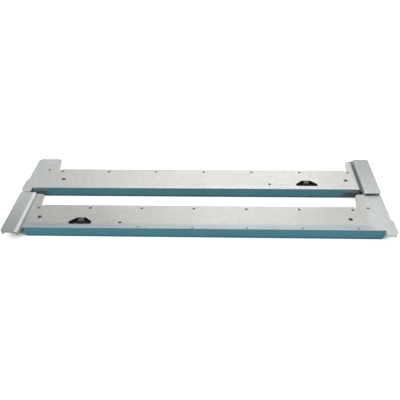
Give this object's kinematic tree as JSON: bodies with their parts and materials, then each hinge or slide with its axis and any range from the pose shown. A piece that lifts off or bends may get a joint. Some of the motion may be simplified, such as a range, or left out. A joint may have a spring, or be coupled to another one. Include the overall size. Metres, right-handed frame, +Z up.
{
  "type": "sliding server rail pair",
  "caption": "Mirrored pair of steel telescoping rack rails with eared housings, ball-bearing slides and spring latches, for carrying a server on runners in a cabinet.",
  "frame": {"origin": "middle of the pair, on the plane that the housings' rims stand on", "axes": "+X along the rails, with the right-hand rail's front end towards -X; +Y from the right-hand rail to the left-hand rail; +Z up, out of the webs"},
  "size_m": [0.769, 0.273, 0.0265],
  "materials": {
    "zinc_sheet": "zinc plated, satin",
    "slide_steel": "cold rolled, zinc plated",
    "cage_steel": "bare strip",
    "ball_steel": "polished",
    "bright_steel": "turned",
    "dark_screws": "black oxide",
    "latch_steel": "stamped, dull",
    "spring_steel": "blued spring",
    "lever_plastic": "moulded",
    "bumper_rubber": "matt"
  },
  "bodies": {
    "root": {"right_housing": "zinc_sheet", "right_front_rack_pins": "bright_steel", "right_rear_rack_pins": "bright_steel", "right_slide_outer": "slide_steel", "right_spacers": "bright_steel", "right_slide_screws": "dark_screws", "right_outer_bumper": "bumper_rubber", "right_latch_bracket": "zinc_sheet", "right_latch_pin": "bright_steel", "right_latch_rivets": "bright_steel", "right_latch_spring": "spring_steel", "left_housing": "zinc_sheet", "left_front_rack_pins": "bright_steel", "left_rear_rack_pins": "bright_steel", "left_slide_outer": "slide_steel", "left_spacers": "bright_steel", "left_slide_screws": "dark_screws", "left_outer_bumper": "bumper_rubber", "left_latch_bracket": "zinc_sheet", "left_latch_pin": "bright_steel", "left_latch_rivets": "bright_steel", "left_latch_spring": "spring_steel"},
    "right_middle": {"right_slide_middle": "slide_steel", "right_middle_bumper": "bumper_rubber"},
    "right_chassis": {"right_slide_inner": "slide_steel", "right_lever_rivet": "bright_steel"},
    "right_outer_cage": {"right_outer_cages": "cage_steel", "right_outer_balls": "ball_steel"},
    "right_inner_cage": {"right_inner_cages": "cage_steel", "right_inner_balls": "ball_steel"},
    "right_latch": {"right_latch_lever": "latch_steel"},
    "right_release": {"right_release_lever": "lever_plastic"},
    "left_middle": {"left_slide_middle": "slide_steel", "left_middle_bumper": "bumper_rubber"},
    "left_chassis": {"left_slide_inner": "slide_steel", "left_lever_rivet": "bright_steel"},
    "left_outer_cage": {"left_outer_cages": "cage_steel", "left_outer_balls": "ball_steel"},
    "left_inner_cage": {"left_inner_cages": "cage_steel", "left_inner_balls": "ball_steel"},
    "left_latch": {"left_latch_lever": "latch_steel"},
    "left_release": {"left_release_lever": "lever_plastic"}
  },
  "joints": [
    {"name": "right_middle_slide", "type": "slide", "parent": "root", "child": "right_middle", "axis": [-1, 0, 0], "range_m": [0, 0.33]},
    {"name": "right_chassis_slide", "type": "slide", "parent": "right_middle", "child": "right_chassis", "axis": [-1, 0, 0], "range_m": [0, 0.33]},
    {"name": "right_outer_cage_roll", "type": "slide", "parent": "root", "child": "right_outer_cage", "axis": [-1, 0, 0], "range_m": [0, 0.165]},
    {"name": "right_inner_cage_roll", "type": "slide", "parent": "right_middle", "child": "right_inner_cage", "axis": [-1, 0, 0], "range_m": [0, 0.165]},
    {"name": "right_latch_pivot", "type": "hinge", "parent": "root", "child": "right_latch", "pos_m": [-0.1645, -0.0985, 0.0156], "axis": [0, -1, 0], "range_deg": [0, 2.2], "stiffness_Nm_per_rad": 0.4, "deforming": ["right_latch_spring"]},
    {"name": "right_release_pivot", "type": "hinge", "parent": "right_chassis", "child": "right_release", "pos_m": [0.0085, -0.0815, 0.0027], "axis": [0, 0, 1], "range_deg": [-4, 4], "stiffness_Nm_per_rad": 0.1},
    {"name": "left_middle_slide", "type": "slide", "parent": "root", "child": "left_middle", "axis": [1, 0, 0], "range_m": [0, 0.33]},
    {"name": "left_chassis_slide", "type": "slide", "parent": "left_middle", "child": "left_chassis", "axis": [1, 0, 0], "range_m": [0, 0.33]},
    {"name": "left_outer_cage_roll", "type": "slide", "parent": "root", "child": "left_outer_cage", "axis": [1, 0, 0], "range_m": [0, 0.165]},
    {"name": "left_inner_cage_roll", "type": "slide", "parent": "left_middle", "child": "left_inner_cage", "axis": [1, 0, 0], "range_m": [0, 0.165]},
    {"name": "left_latch_pivot", "type": "hinge", "parent": "root", "child": "left_latch", "pos_m": [0.1645, 0.037, 0.0156], "axis": [0, 1, 0], "range_deg": [0, 2.2], "stiffness_Nm_per_rad": 0.4, "deforming": ["left_latch_spring"]},
    {"name": "left_release_pivot", "type": "hinge", "parent": "left_chassis", "child": "left_release", "pos_m": [-0.0085, 0.054, 0.0027], "axis": [0, 0, -1], "range_deg": [-4, 4], "stiffness_Nm_per_rad": 0.1}
  ],
  "couplings": [
    {"joint": "right_outer_cage_roll", "follows": "right_middle_slide", "ratio": 0.5},
    {"joint": "right_inner_cage_roll", "follows": "right_chassis_slide", "ratio": 0.5},
    {"joint": "left_outer_cage_roll", "follows": "left_middle_slide", "ratio": 0.5},
    {"joint": "left_inner_cage_roll", "follows": "left_chassis_slide", "ratio": 0.5}
  ]
}
